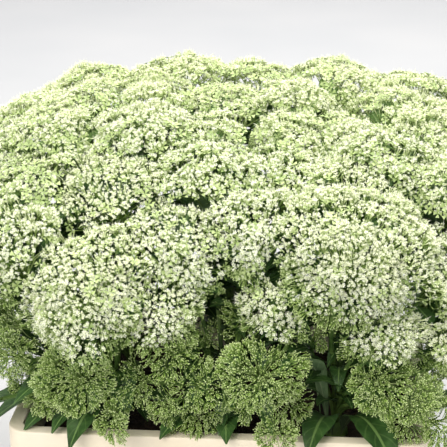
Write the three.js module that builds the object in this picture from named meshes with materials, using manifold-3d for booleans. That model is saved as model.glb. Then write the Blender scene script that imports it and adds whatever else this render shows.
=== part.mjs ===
// White throatwort planted in a rectangular cream tub: tub, potting soil, six branched plants with
// their open flower heads, green bud heads and leaves. Millimetres, +Z up, front of the tub to -Y,
// origin at the centre of the tub's underside.
import * as THREE from 'three';
import { mergeVertices } from 'three/addons/utils/BufferGeometryUtils.js';
import Module from 'manifold-3d';

const wasm = await Module();
wasm.setup();

// Driving dimensions of the tub
const TUB_LENGTH = 400;
const TUB_WIDTH = 300;
const TUB_HEIGHT = 200;
const WALL = 3;
const RIM_WIDTH = 14;
const SKIRT_DEPTH = 24;
const RIM_CORNER = 22;
const WALL_TAPER = 16;
const EDGE_ROUND = 1.5;
const CORNER_STEPS = 5;

// Driving dimensions of the soil
const SOIL_TOP = 165;
const SOIL_EDGE_DROP = 7;
const SOIL_EDGE_SLOPE = 18;
const GAP = 0.3;

// Six plants in two rows of three; each plant's heads spread wider than the plants stand
const PLANT_COLUMNS = [-110, 0, 110];
const PLANT_ROWS = [-60, 60];
const SPREAD = 1.4;
const CROWN_RADIUS = 13;
const CROWN_NARROW = 0.7;
const CROWN_DEPTH = 12;
const CROWN_SIDES = 12;
const STEM_RADIUS = 2.3;
const STEM_SIDES = 5;
const STEM_STEPS = 7;

// How far a stem runs straight up from its crown, and straight into its head, as fractions of its reach
const STEM_START = 0.45;
const STEM_END = 0.25;

// A head's outline as fractions of its width: the height of its waist, the rise of its dome above the
// waist, the swell of its underside, and the height of its top above its waist when it leans
const HEAD_WAIST = 0.4;
const HEAD_DOME = 0.44;
const UNDERSIDE = { radius: 0.4, height: 0.2 };
const HEAD_TOP_ABOVE_WAIST = 0.45;
const HEAD_BASE_RADIUS = 5;
const HEAD_SIDES = 10;
const DOME_STEPS = 3;

// The open heads lean out of the middle of the mass: its middle, and the reach at which they lean 45 degrees
const MASS_MIDDLE_Y = 70;
const LEAN_REACH_X = 450;
const LEAN_REACH_Y = 400;

// Open heads by row from the front, each as [x, y, height of its top, width]
const FLOWER_HEADS = [
  [-193, -110, 405, 105],
  [-109, -150, 392, 122],
  [-43, -105, 407, 112],
  [39, -100, 420, 100],
  [121, -125, 427, 140],
  [200, -88, 388, 95],
  [212, -135, 322, 62],

  [-194, -38, 433, 110],
  [-110, -50, 436, 105],
  [-18, -25, 449, 105],
  [56, -32, 440, 92],
  [119, -55, 436, 96],
  [158, -2, 453, 98],
  [222, -28, 432, 92],

  [-186, 35, 463, 108],
  [-90, 30, 467, 112],
  [-20, 38, 461, 88],
  [61, 38, 461, 100],
  [120, 45, 459, 88],
  [202, 50, 456, 98],

  [-236, 90, 450, 95],
  [-158, 105, 472, 100],
  [-82, 105, 477, 98],
  [-6, 105, 476, 98],
  [60, 106, 477, 86],
  [176, 98, 469, 104],

  [-162, 168, 474, 98],
  [-63, 168, 486, 112],
  [20, 168, 480, 90],
  [108, 165, 485, 112],
  [192, 162, 474, 98],

  [-150, 208, 414, 112],
  [-50, 216, 420, 112],
  [52, 216, 420, 112],
  [152, 208, 414, 112],
];

// Green bud heads on side shoots low at the front, each as [x, y, height of its top, width]
const BUD_HEADS = [
  [-126, -168, 305, 78],
  [-190, -132, 298, 56],
  [-212, -158, 254, 42],
  [-68, -150, 286, 58],
  [-16, -158, 291, 64],
  [44, -168, 316, 80],
  [153, -160, 303, 72],
  [206, -160, 253, 54],
  [-92, -176, 250, 44],
  [59, -180, 244, 48],
];
const BUD_LEAN_REACH_X = 260;
const BUD_LEVEL_HEIGHT = 235;
const BUD_RISE_HEIGHT = 80;

// Low leaves: the plant, where the leaf heads (degrees from +X), how far it reaches, how high its arch
// and its tip are above its root, and its width
const LEAF_THICKNESS = 1.2;
const LEAF_STEPS = 8;
const LEAF_FOLD = 0.3;
const LEAF_STALK = 0.09;
const LEAF_SEAT_HEIGHT = 2.5;
const LEAF_FULLEST = 1.25;

// A leaf's midrib is steered by a low and a high handle, as fractions of its reach and its arch
const LEAF_LOW_HANDLE = { far: 0.15, high: 0.9 };
const LEAF_HIGH_HANDLE = { far: 0.6, high: 1.1 };
const LEAVES = [
  { column: 0, row: 0, heading: 186, reach: 62, arch: 42, tip: 96, width: 30 },
  { column: 0, row: 0, heading: 258, reach: 102, arch: 52, tip: 28, width: 32 },
  { column: 0, row: 0, heading: 320, reach: 70, arch: 46, tip: 50, width: 28 },
  { column: 1, row: 0, heading: 242, reach: 96, arch: 48, tip: 34, width: 32 },
  { column: 1, row: 0, heading: 276, reach: 92, arch: 46, tip: 36, width: 30 },
  { column: 2, row: 0, heading: 258, reach: 102, arch: 48, tip: 30, width: 32 },
  { column: 2, row: 0, heading: 296, reach: 118, arch: 52, tip: 14, width: 38 },
];

const UP = new THREE.Vector3(0, 0, 1);
const SAME_POINT = 1e-3;

// Merges a geometry's shared corners and drops triangles that have closed up
function closedGeometry(geometry) {
  const bare = new THREE.BufferGeometry();
  bare.setAttribute('position', geometry.getAttribute('position'));
  bare.setIndex(geometry.index);
  const merged = mergeVertices(bare, SAME_POINT);
  const kept = [];
  const index = merged.index.array;
  for (let i = 0; i < index.length; i += 3) {
    const [a, b, c] = index.slice(i, i + 3);
    if (a !== b && b !== c && c !== a) kept.push(a, b, c);
  }
  merged.setIndex(kept);
  return merged;
}

function solidOf(geometry) {
  const closed = closedGeometry(geometry);
  const mesh = new wasm.Mesh({
    numProp: 3,
    vertProperties: new Float32Array(closed.getAttribute('position').array),
    triVerts: new Uint32Array(closed.index.array),
  });
  return new wasm.Manifold(mesh);
}

function geometryOf(solid) {
  const mesh = solid.getMesh();
  const geometry = new THREE.BufferGeometry();
  geometry.setAttribute('position', new THREE.BufferAttribute(mesh.vertProperties, 3));
  geometry.setIndex(new THREE.BufferAttribute(mesh.triVerts, 1));
  const flat = geometry.toNonIndexed();
  flat.computeVertexNormals();
  return flat;
}

// One rounded rectangle as a closed ring of points, anticlockwise seen from above
function roundedRing(length, width, corner, z) {
  const ring = [];
  const quarters = [[1, 1], [-1, 1], [-1, -1], [1, -1]];
  quarters.forEach(([sx, sy], quarter) => {
    const cx = sx * (length / 2 - corner);
    const cy = sy * (width / 2 - corner);
    for (let step = 0; step <= CORNER_STEPS; step += 1) {
      const angle = (quarter + step / CORNER_STEPS) * Math.PI / 2;
      ring.push(new THREE.Vector3(cx + corner * Math.cos(angle), cy + corner * Math.sin(angle), z));
    }
  });
  return ring;
}

// A closed body through rings with the same number of points, capped flat at its first and last ring
function ringLoft(rings) {
  const count = rings[0].length;
  const positions = rings.flat().flatMap((point) => point.toArray());
  const index = [];
  for (let row = 0; row + 1 < rings.length; row += 1) {
    for (let k = 0; k < count; k += 1) {
      const here = row * count + k;
      const next = row * count + (k + 1) % count;
      index.push(here, next, next + count);
      index.push(here, next + count, here + count);
    }
  }
  const last = (rings.length - 1) * count;
  for (let k = 1; k + 1 < count; k += 1) {
    index.push(0, k + 1, k);
    index.push(last, last + k, last + k + 1);
  }
  const geometry = new THREE.BufferGeometry();
  geometry.setAttribute('position', new THREE.Float32BufferAttribute(positions, 3));
  geometry.setIndex(index);
  return geometry;
}

// A body turned about the vertical axis from [radius, height] points that start and end on the axis
function turned(profile, sides) {
  const points = profile.map(([radius, height]) => new THREE.Vector2(radius, height));
  const lathe = new THREE.LatheGeometry(points, sides);
  lathe.rotateX(Math.PI / 2);
  return lathe;
}

// Inside length of the tub at a height; its inside width is less by the same amount at every height
function insideLength(z) {
  const top = TUB_LENGTH - 2 * RIM_WIDTH;
  return top - 2 * WALL_TAPER * (TUB_HEIGHT - z) / (TUB_HEIGHT - WALL);
}

function insideRing(z, shrink) {
  const length = insideLength(z) - 2 * shrink;
  const corner = RIM_CORNER - RIM_WIDTH - shrink;
  return roundedRing(length, length - TUB_LENGTH + TUB_WIDTH, corner, z);
}

function tubGeometry() {
  const narrowing = TUB_LENGTH - TUB_WIDTH;
  const ring = (length, corner, z) => roundedRing(length, length - narrowing, corner, z);
  const footLength = insideLength(WALL) + 2 * WALL;
  const neckLength = insideLength(TUB_HEIGHT) + 2 * WALL;
  const wallCorner = RIM_CORNER - RIM_WIDTH + WALL;
  const skirtInside = TUB_LENGTH - 2 * WALL;
  const skirtFoot = TUB_HEIGHT - SKIRT_DEPTH;
  return ringLoft([
    ring(footLength - 2 * WALL, wallCorner - WALL, 0),
    ring(footLength, wallCorner, WALL),
    ring(neckLength, wallCorner, TUB_HEIGHT - WALL),
    ring(skirtInside, RIM_CORNER - WALL, TUB_HEIGHT - WALL),
    ring(skirtInside, RIM_CORNER - WALL, skirtFoot),
    ring(TUB_LENGTH, RIM_CORNER, skirtFoot),
    ring(TUB_LENGTH, RIM_CORNER, TUB_HEIGHT - EDGE_ROUND),
    ring(TUB_LENGTH - 2 * EDGE_ROUND, RIM_CORNER - EDGE_ROUND, TUB_HEIGHT),
    insideRing(TUB_HEIGHT, -EDGE_ROUND),
    insideRing(TUB_HEIGHT - EDGE_ROUND, 0),
    insideRing(WALL, 0),
  ]);
}

function crownPoint(column, row) {
  return new THREE.Vector3(PLANT_COLUMNS[column], PLANT_ROWS[row], SOIL_TOP);
}

function crownGeometry() {
  return turned([
    [0, -CROWN_DEPTH],
    [CROWN_RADIUS * CROWN_NARROW, -CROWN_DEPTH],
    [CROWN_RADIUS, -CROWN_DEPTH / 2],
    [CROWN_RADIUS, LEAF_SEAT_HEIGHT * 2],
    [CROWN_RADIUS * CROWN_NARROW, CROWN_DEPTH * CROWN_NARROW],
    [0, CROWN_DEPTH],
  ], CROWN_SIDES);
}

// The hole in the soil that a crown stands in
function crownPocket() {
  const radius = CROWN_RADIUS + GAP;
  return turned([
    [0, -CROWN_DEPTH - GAP],
    [radius * CROWN_NARROW, -CROWN_DEPTH - GAP],
    [radius, -CROWN_DEPTH / 2 - GAP],
    [radius, CROWN_DEPTH],
    [0, CROWN_DEPTH],
  ], CROWN_SIDES);
}

function soilGeometry() {
  const edgeTop = SOIL_TOP - SOIL_EDGE_DROP;
  let soil = solidOf(ringLoft([
    insideRing(WALL + GAP, GAP),
    insideRing(edgeTop, GAP),
    roundedRing(
      insideLength(edgeTop) - 2 * SOIL_EDGE_SLOPE,
      insideLength(edgeTop) - 2 * SOIL_EDGE_SLOPE - TUB_LENGTH + TUB_WIDTH,
      RIM_CORNER - RIM_WIDTH - GAP,
      SOIL_TOP,
    ),
  ]));
  PLANT_ROWS.forEach((y, row) => {
    PLANT_COLUMNS.forEach((x, column) => {
      const pocket = crownPocket();
      pocket.translate(...crownPoint(column, row).toArray());
      soil = soil.subtract(solidOf(pocket));
    });
  });
  return geometryOf(soil);
}

// The closed outline of a corymb: a shallow cone of stalks under a dome of flowers
function headGeometry(width) {
  const profile = [
    [0, 0],
    [HEAD_BASE_RADIUS, 0],
    [UNDERSIDE.radius * width, UNDERSIDE.height * width],
    [width / 2, HEAD_WAIST * width],
  ];
  for (let step = 1; step < DOME_STEPS; step += 1) {
    const angle = step / DOME_STEPS * Math.PI / 2;
    const height = (HEAD_WAIST + HEAD_DOME * Math.sin(angle)) * width;
    profile.push([width / 2 * Math.cos(angle), height]);
  }
  profile.push([0, (HEAD_WAIST + HEAD_DOME) * width]);
  return turned(profile, HEAD_SIDES);
}

function openLean(x, y) {
  return new THREE.Vector3(x / LEAN_REACH_X, (y - MASS_MIDDLE_Y) / LEAN_REACH_Y, 1).normalize();
}

// The lower a bud head hangs, the nearer to level it leans out over the rim
function budLean(x, top) {
  const rise = (top - BUD_LEVEL_HEIGHT) / BUD_RISE_HEIGHT;
  return new THREE.Vector3(x / BUD_LEAN_REACH_X, -1, rise).normalize();
}

function nearest(values, wanted) {
  const distances = values.map((value) => Math.abs(value - wanted));
  return distances.indexOf(Math.min(...distances));
}

// A head's centre, axis, the point where its stalks meet and the plant that carries it
function placedHead(name, [x, y, top, width], axis) {
  const centre = new THREE.Vector3(x, y, top - HEAD_TOP_ABOVE_WAIST * width);
  const base = centre.clone().addScaledVector(axis, -HEAD_WAIST * width);
  const plant = { column: nearest(PLANT_COLUMNS, x / SPREAD), row: nearest(PLANT_ROWS, y) };
  return { name, centre, axis, base, width, plant };
}

function numbered(stem, index) {
  return `${stem}_${String(index + 1).padStart(2, '0')}`;
}

const openHeads = FLOWER_HEADS.map((head, index) => (
  placedHead(numbered('flower_head', index), head, openLean(head[0], head[1]))
));
const budHeads = BUD_HEADS.map((head, index) => (
  placedHead(numbered('bud_head', index), head, budLean(head[0], head[2]))
));
const heads = [...openHeads, ...budHeads];

// A stem leaves its crown upwards and reaches its head along the head's axis
function stemCurve(head) {
  const crown = crownPoint(head.plant.column, head.plant.row);
  const tip = head.base.clone().addScaledVector(head.axis, -GAP);
  const reach = tip.distanceTo(crown);
  const firstHandle = crown.clone().addScaledVector(UP, reach * STEM_START);
  const lastHandle = tip.clone().addScaledVector(head.axis, -reach * STEM_END);
  return new THREE.CubicBezierCurve3(crown, firstHandle, lastHandle, tip);
}

function stemGeometry(head, radius) {
  const section = new THREE.Shape();
  for (let side = 0; side < STEM_SIDES; side += 1) {
    const angle = side / STEM_SIDES * Math.PI * 2;
    const point = [radius * Math.cos(angle), radius * Math.sin(angle)];
    if (side === 0) section.moveTo(...point);
    else section.lineTo(...point);
  }
  section.closePath();
  return new THREE.ExtrudeGeometry(section, { steps: STEM_STEPS, extrudePath: stemCurve(head) });
}

// A block as large as the tub whose near face lies at a distance along a direction: it cuts away all
// that is beyond
function blockBeyond(origin, direction, distance) {
  const block = new THREE.BoxGeometry(TUB_LENGTH, TUB_LENGTH, TUB_LENGTH);
  block.applyQuaternion(new THREE.Quaternion().setFromUnitVectors(UP, direction));
  const middle = origin.clone().addScaledVector(direction, distance + TUB_LENGTH / 2);
  block.translate(middle.x, middle.y, middle.z);
  return solidOf(block);
}

// Crowded heads flatten against each other: each is cut back at the plane that it shares with a neighbour
function trimmedHead(head) {
  const geometry = headGeometry(head.width);
  geometry.applyQuaternion(new THREE.Quaternion().setFromUnitVectors(UP, head.axis));
  geometry.translate(head.base.x, head.base.y, head.base.z);
  let solid = solidOf(geometry);
  const radius = head.width / 2;
  heads.forEach((other) => {
    const apart = other.centre.distanceTo(head.centre);
    const otherRadius = other.width / 2;
    if (other === head || apart > radius + otherRadius) return;
    const direction = other.centre.clone().sub(head.centre).normalize();
    const shared = (apart * apart + radius * radius - otherRadius * otherRadius) / (2 * apart);
    solid = solid.subtract(blockBeyond(head.centre, direction, shared - GAP / 2));
  });
  return solid;
}

// Stems of other heads that pass through a head leave it a channel
function clearOfStems(solid, head) {
  let cleared = solid;
  heads.forEach((other) => {
    if (other === head) return;
    const passes = stemCurve(other).getPoints(STEM_STEPS * 2)
      .some((point) => point.distanceTo(head.centre) < head.width);
    if (passes) cleared = cleared.subtract(solidOf(stemGeometry(other, STEM_RADIUS + 2 * GAP)));
  });
  return cleared;
}

function plantGeometry(column, row) {
  const crown = crownGeometry();
  crown.translate(...crownPoint(column, row).toArray());
  let solid = solidOf(crown);
  heads.forEach((head) => {
    if (head.plant.column !== column || head.plant.row !== row) return;
    solid = solid.add(solidOf(stemGeometry(head, STEM_RADIUS)));
  });
  return geometryOf(solid);
}

// A pointed blade, folded along its midrib, that rises from its crown and arches over
function leafGeometry({ column, row, heading, reach, arch, tip, width }) {
  const angle = THREE.MathUtils.degToRad(heading);
  const out = new THREE.Vector3(Math.cos(angle), Math.sin(angle), 0);
  const side = new THREE.Vector3().crossVectors(UP, out);
  const root = crownPoint(column, row).addScaledVector(out, CROWN_RADIUS + GAP + LEAF_THICKNESS / 2);
  root.z += LEAF_SEAT_HEIGHT;
  const place = (far, high) => root.clone().addScaledVector(out, far).addScaledVector(UP, high);
  const spine = new THREE.CubicBezierCurve3(
    root,
    place(reach * LEAF_LOW_HANDLE.far, arch * LEAF_LOW_HANDLE.high),
    place(reach * LEAF_HIGH_HANDLE.far, arch * LEAF_HIGH_HANDLE.high),
    place(reach, tip),
  );
  const rings = [];
  for (let step = 0; step <= LEAF_STEPS; step += 1) {
    const along = step / LEAF_STEPS;
    const half = width / 2 * Math.max(LEAF_STALK, Math.sin(Math.PI * along ** LEAF_FULLEST));
    const point = spine.getPoint(along);
    const facing = new THREE.Vector3().crossVectors(spine.getTangent(along), side).normalize();
    const edge = (across) => point.clone()
      .addScaledVector(side, across)
      .addScaledVector(facing, Math.abs(across) * LEAF_FOLD);
    rings.push([
      edge(-half),
      point.clone().addScaledVector(facing, -LEAF_THICKNESS / 2),
      edge(half),
      point.clone().addScaledVector(facing, LEAF_THICKNESS / 2),
    ]);
  }
  return ringLoft(rings);
}

const tubPlastic = new THREE.MeshStandardMaterial({ color: 0xf3e3c8, roughness: 0.5, metalness: 0 });
const pottingSoil = new THREE.MeshStandardMaterial({ color: 0x3a2b20, roughness: 0.95, metalness: 0 });
const greenStem = new THREE.MeshStandardMaterial({ color: 0x6f8a4a, roughness: 0.6, metalness: 0 });
const whiteFlowers = new THREE.MeshStandardMaterial({ color: 0xe6edcf, roughness: 0.8, metalness: 0 });
const greenBuds = new THREE.MeshStandardMaterial({ color: 0x86a054, roughness: 0.8, metalness: 0 });
const greenLeaf = new THREE.MeshStandardMaterial({ color: 0x47683a, roughness: 0.55, metalness: 0 });

const planter = new THREE.Group();

function addPiece(name, geometry, material) {
  const mesh = new THREE.Mesh(geometry, material.clone());
  mesh.name = name;
  planter.add(mesh);
}

addPiece('tub', tubGeometry(), tubPlastic);
addPiece('potting_soil', soilGeometry(), pottingSoil);

const COLUMN_NAMES = ['left', 'middle', 'right'];
const ROW_NAMES = ['front', 'back'];
ROW_NAMES.forEach((rowName, row) => {
  COLUMN_NAMES.forEach((columnName, column) => {
    addPiece(`stems_${rowName}_${columnName}`, plantGeometry(column, row), greenStem);
  });
});

openHeads.forEach((head) => {
  addPiece(head.name, geometryOf(clearOfStems(trimmedHead(head), head)), whiteFlowers);
});
budHeads.forEach((head) => {
  addPiece(head.name, geometryOf(clearOfStems(trimmedHead(head), head)), greenBuds);
});
LEAVES.forEach((leaf, index) => {
  addPiece(numbered('leaf', index), leafGeometry(leaf), greenLeaf);
});

export default planter;
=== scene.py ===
"""White throatwort in a rectangular cream tub, in metres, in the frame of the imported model."""

import collections
import math

import bpy
import numpy as np
from mathutils import Matrix, Vector, noise


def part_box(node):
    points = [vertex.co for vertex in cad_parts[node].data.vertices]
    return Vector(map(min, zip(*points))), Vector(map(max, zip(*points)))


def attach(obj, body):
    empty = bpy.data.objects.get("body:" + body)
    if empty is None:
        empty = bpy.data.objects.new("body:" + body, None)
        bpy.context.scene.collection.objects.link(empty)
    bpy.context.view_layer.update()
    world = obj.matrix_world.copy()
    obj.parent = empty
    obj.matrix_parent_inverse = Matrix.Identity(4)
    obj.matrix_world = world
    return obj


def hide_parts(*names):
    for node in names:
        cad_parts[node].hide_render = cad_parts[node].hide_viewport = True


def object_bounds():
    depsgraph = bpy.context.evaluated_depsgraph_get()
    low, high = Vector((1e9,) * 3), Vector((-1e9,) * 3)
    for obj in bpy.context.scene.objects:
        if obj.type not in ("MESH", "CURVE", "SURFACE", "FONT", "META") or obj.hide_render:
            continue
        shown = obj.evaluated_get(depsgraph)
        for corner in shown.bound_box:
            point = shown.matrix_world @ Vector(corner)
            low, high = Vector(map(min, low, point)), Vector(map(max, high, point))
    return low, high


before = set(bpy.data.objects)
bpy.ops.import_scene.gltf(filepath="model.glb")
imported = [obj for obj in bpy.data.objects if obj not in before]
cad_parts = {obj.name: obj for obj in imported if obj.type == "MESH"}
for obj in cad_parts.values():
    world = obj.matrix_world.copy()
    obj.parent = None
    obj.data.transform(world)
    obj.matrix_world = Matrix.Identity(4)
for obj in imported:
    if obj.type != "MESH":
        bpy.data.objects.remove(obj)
cad_box = [list(corner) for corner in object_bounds()]

MM = 0.001
UP = np.array([0.0, 0.0, 1.0])
FULL_TURN = 2 * math.pi
GOLDEN_ANGLE = math.pi * (3 - math.sqrt(5))


def unit(vectors):
    """Vectors of length 1 along the given ones."""
    return vectors / np.linalg.norm(vectors, axis=-1, keepdims=True)


def bezier(handles, steps):
    """Points and directions along a curve with four handles."""
    t = np.linspace(0, 1, steps)[:, None]
    weights = (1 - t) ** 3, 3 * t * (1 - t) ** 2, 3 * t * t * (1 - t), t ** 3
    slopes = 3 * (1 - t) ** 2, 6 * t * (1 - t), 3 * t * t
    points = sum(w * h for w, h in zip(weights, handles))
    return points, unit(sum(w * (b - a) for w, a, b in zip(slopes, handles[:-1], handles[1:])))


# The frame: heads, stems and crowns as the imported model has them

HEAD_WAIST = 0.4
HEAD_DOME = 0.44
CROWN_DEPTH = 12 * MM
FOOT_DEPTH = 0.5 * MM
STEM_RADIUS = 2.3 * MM
STEM_SIDES = 5
TIP_TOLERANCE = 0.02 * MM
SEAT_GAP = 0.3 * MM
STEM_START = 0.45
STEM_END = 0.25

Head = collections.namedtuple("Head", "node base axis width centre plant")


def numbers(items, name, width):
    """One property of many mesh items as rows of numbers."""
    found = np.empty(len(items) * width)
    items.foreach_get(name, found)
    return found.reshape(-1, width)


def corners_of(node):
    return numbers(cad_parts[node].data.vertices, "co", 3)


def stem_tips(plant):
    """The middle of each stem's flat tip and the way it faces, which is its head's axis."""
    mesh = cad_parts[plant].data
    corners = corners_of(plant)
    planes = collections.defaultdict(list)
    for polygon in mesh.polygons:
        normal = np.array(polygon.normal)
        key = (*np.round(normal, 2) + 0.0, round(float(normal @ np.array(polygon.center)), 4))
        planes[key].append(polygon)
    for polygons in planes.values():
        points = np.array(sorted({tuple(np.round(corners[i], 6)) for p in polygons for i in p.vertices}))
        middle = points.mean(0)
        strays = np.abs(np.linalg.norm(points - middle, axis=1) - STEM_RADIUS)
        if len(points) == STEM_SIDES and strays.max() < TIP_TOLERANCE:
            facing = sum(np.array(p.normal) * p.area for p in polygons)
            yield middle, unit(facing)


def read_head(plant, tip, axis):
    """A head's node, base, axis and width, from the stem's tip that it sits on. No corner lies outside its
    outline, so the widest outline through a corner is its own."""
    base = tip + axis * SEAT_GAP
    node = min(head_corners, key=lambda name: np.linalg.norm(head_corners[name] - base, axis=1).min())
    away = head_corners[node] - base
    height = away @ axis
    radius = np.linalg.norm(away - height[:, None] * axis, axis=1)
    rise = HEAD_DOME ** 2
    a = 1 - HEAD_WAIST ** 2 / rise
    b = 2 * HEAD_WAIST / rise * height
    c = -(4 * radius ** 2 + height ** 2 / rise)
    width = float(((-b + np.sqrt(b * b - 4 * a * c)) / (2 * a)).max())
    return Head(node, base, axis, width, base + axis * HEAD_WAIST * width, plant)


stem_nodes = sorted(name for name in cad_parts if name.startswith("stems_"))
head_corners = {name: corners_of(name) for name in sorted(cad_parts) if "_head_" in name}
main_heads = [read_head(plant, *tip) for plant in stem_nodes for tip in stem_tips(plant)]
main_heads.sort(key=lambda head: head.node)


def crown_of(plant):
    """The point where a plant's stems leave the soil."""
    corners = corners_of(plant)
    foot = corners[corners[:, 2] < corners[:, 2].min() + FOOT_DEPTH]
    middle = (foot.max(0) + foot.min(0)) / 2
    return np.array([middle[0], middle[1], corners[:, 2].min() + CROWN_DEPTH])


crowns = {plant: crown_of(plant) for plant in stem_nodes}

# Materials

# The sockets of a colour mix
FACTOR, FIRST, SECOND, MIXED = 0, 6, 7, 2


def srgb(code):
    """A hex colour as the linear values that light mixes in."""
    values = [int(code[i:i + 2], 16) / 255 for i in (1, 3, 5)]
    return [v / 12.92 if v <= 0.04045 else ((v + 0.055) / 1.055) ** 2.4 for v in values] + [1.0]


def per_metre(size_mm):
    """The texture scale at which one feature is that many millimetres."""
    return 1 / (size_mm * MM)


def add_node(tree, kind, inputs=None, output=None, stops=(), **settings):
    """Adds a shader node with its settings, hex colours at stops from 0 to 1, and a value or another node's
    output for each named input. Returns the output that is named, or else the node."""
    node = tree.nodes.new("ShaderNode" + kind)
    for name, value in settings.items():
        setattr(node, name, value)
    for name, value in (inputs or {}).items():
        if isinstance(value, bpy.types.NodeSocket):
            tree.links.new(value, node.inputs[name])
        else:
            node.inputs[name].default_value = value
    if stops:
        band = node.color_ramp.elements
        while len(band) < len(stops):
            band.new(0.5)
        for element, (position, code) in zip(band, stops):
            element.position = position
            element.color = srgb(code)
    return node if output is None else node.outputs[output]


def new_finish(name, roughness, **sockets):
    """An empty material with one shader, and its tree."""
    material = bpy.data.materials.new(name)
    material.use_nodes = True
    tree = material.node_tree
    tree.nodes.clear()
    shader = add_node(tree, "BsdfPrincipled", {"Roughness": roughness, **sockets})
    add_node(tree, "OutputMaterial", {"Surface": shader.outputs["BSDF"]})
    return material, tree, shader


def mottled_finish(name, roughness, size_mm, detail, stops, **sockets):
    """A material with blotches of one size: also its tree and shader, the blotches and their colours."""
    material, tree, shader = new_finish(name, roughness, **sockets)
    place = add_node(tree, "TexCoord", output="Object")
    pattern = {"Vector": place, "Scale": per_metre(size_mm), "Detail": detail}
    blotches = add_node(tree, "TexNoise", pattern, "Fac")
    return material, tree, shader, blotches, add_node(tree, "ValToRGB", {"Fac": blotches}, "Color", stops)


def living_finish(name, roughness, *tones):
    """A skin with two sets of colours from a form's foot to its tip, mixed by the form's own tint."""
    material, tree, shader = new_finish(name, roughness)
    reach = add_node(tree, "Attribute", output="Fac", attribute_name="reach")
    tint = add_node(tree, "Attribute", output="Fac", attribute_name="tint")
    first, second = (add_node(tree, "ValToRGB", {"Fac": reach}, "Color", stops) for stops in tones)
    skin = add_node(tree, "Mix", {FACTOR: tint, FIRST: first, SECOND: second}, MIXED, data_type="RGBA")
    tree.links.new(skin, shader.inputs["Base Color"])
    return material


# Petals: thin matt living tissue, white at the lobes and green-white in the throat. Flowers that opened
# earlier are creamier, which gives each head its soft patches.
petal = living_finish(
    "white_petal_tissue", 0.75,
    ((0.0, "#c8d698"), (0.35, "#edf1d0"), (0.8, "#fbfbee")),
    ((0.0, "#ccd89a"), (0.35, "#e9eec6"), (0.8, "#f6f6da")),
)

# Buds: smooth closed buds, yellow-green at the tip where the white shows through, darker below.
bud_skin = living_finish(
    "green_bud_skin", 0.5,
    ((0.0, "#9db56a"), (0.5, "#dbe6ae"), (1.0, "#f8f8dc")),
    ((0.0, "#44631a"), (0.45, "#84a53c"), (1.0, "#e0eaa6")),
)

# Flower stalks: thin juicy green stalks, paler towards the flowers.
stalk_skin = living_finish(
    "green_stalk_skin", 0.55,
    ((0.0, "#5f7f30"), (0.35, "#a6bb6c"), (0.7, "#d6dfa8"), (1.0, "#f2f4d0")),
    ((0.0, "#2c4613"), (0.5, "#5c7c2a"), (1.0, "#8fab48")),
)

# Stems: upright green stems with fine lengthwise ridges, which catch the light as pale streaks.
STEM_RIDGES = 8
stem_stops = (0.3, "#4c6b2f"), (0.55, "#6f8d45"), (0.75, "#8da65c")
stem_skin, tree, shader, _, tone = mottled_finish("ridged_green_stem", 0.5, 18, 3.0, stem_stops)
turn = add_node(tree, "Attribute", output="Fac", attribute_name="around")
turns = add_node(tree, "Math", {0: turn, 1: FULL_TURN * STEM_RIDGES}, 0, operation="MULTIPLY")
ridges = add_node(tree, "Math", {0: turns}, 0, operation="SINE")
reach = add_node(tree, "Attribute", output="Fac", attribute_name="reach")
foot = add_node(tree, "ValToRGB", {"Fac": reach}, "Color", ((0.0, "#9a9a78"), (0.25, "#ffffff")))
skin = add_node(
    tree, "Mix", {FACTOR: 1.0, FIRST: tone, SECOND: foot}, MIXED, data_type="RGBA", blend_type="MULTIPLY"
)
tree.links.new(skin, shader.inputs["Base Color"])
bump = add_node(tree, "Bump", {"Height": ridges, "Strength": 0.4, "Distance": 0.2 * MM}, "Normal")
tree.links.new(bump, shader.inputs["Normal"])

VEIN_SLOPE = -0.16
SIDE_VEINS = 9


def leaf_finish(name, low, middle, high, vein, roughness):
    """A leaf's skin: a midrib, side veins that slope towards the tip, and blotches between them. The veins
    are drawn 0.8 mm wide, twice the real width, so that they show."""
    stops = (0.3, low), (0.5, middle), (0.72, high)
    material, tree, shader, _, skin = mottled_finish(name, roughness, 12, 4.0, stops)
    reach = add_node(tree, "Attribute", output="Fac", attribute_name="reach")
    across = add_node(tree, "Attribute", output="Fac", attribute_name="across")
    aside = add_node(tree, "Math", {0: across}, 0, operation="ABSOLUTE")
    sloped = add_node(tree, "Math", {0: aside, 1: VEIN_SLOPE, 2: reach}, 0, operation="MULTIPLY_ADD")
    turns = add_node(tree, "Math", {0: sloped, 1: FULL_TURN * SIDE_VEINS}, 0, operation="MULTIPLY")
    waves = add_node(tree, "Math", {0: turns}, 0, operation="SINE")
    side_veins = add_node(tree, "ValToRGB", {"Fac": waves}, "Color", ((0.82, "#000000"), (0.97, "#8a8a8a")))
    midrib = add_node(tree, "ValToRGB", {"Fac": aside}, "Color", ((0.05, "#ffffff"), (0.11, "#000000")))
    both = {FACTOR: 1.0, FIRST: side_veins, SECOND: midrib}
    veins = add_node(tree, "Mix", both, MIXED, data_type="RGBA", blend_type="LIGHTEN")
    veined = {FACTOR: veins, FIRST: skin, SECOND: srgb(vein)}
    tree.links.new(add_node(tree, "Mix", veined, MIXED, data_type="RGBA"), shader.inputs["Base Color"])
    bump = add_node(tree, "Bump", {"Height": veins, "Strength": 0.5, "Distance": -0.4 * MM}, "Normal")
    tree.links.new(bump, shader.inputs["Normal"])
    return material


# Leaves: waxy and dark above, dull and grey-green below.
leaf_face = leaf_finish("waxy_leaf_face", "#28431c", "#365626", "#4b6d35", "#769452", 0.42)
# A paler, matt copy of the leaf face for the back plants' inner leaves: painted light for the brighter back of
# the mass.
painted_light_leaf = leaf_finish("pale_leaf_face_painted_light", "#577a3a", "#6b8c4a", "#86a45f", "#a3bb7c", 0.85)
leaf_back = leaf_finish("dull_leaf_back", "#5f7a52", "#718c60", "#86a070", "#9db084", 0.8)

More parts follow.
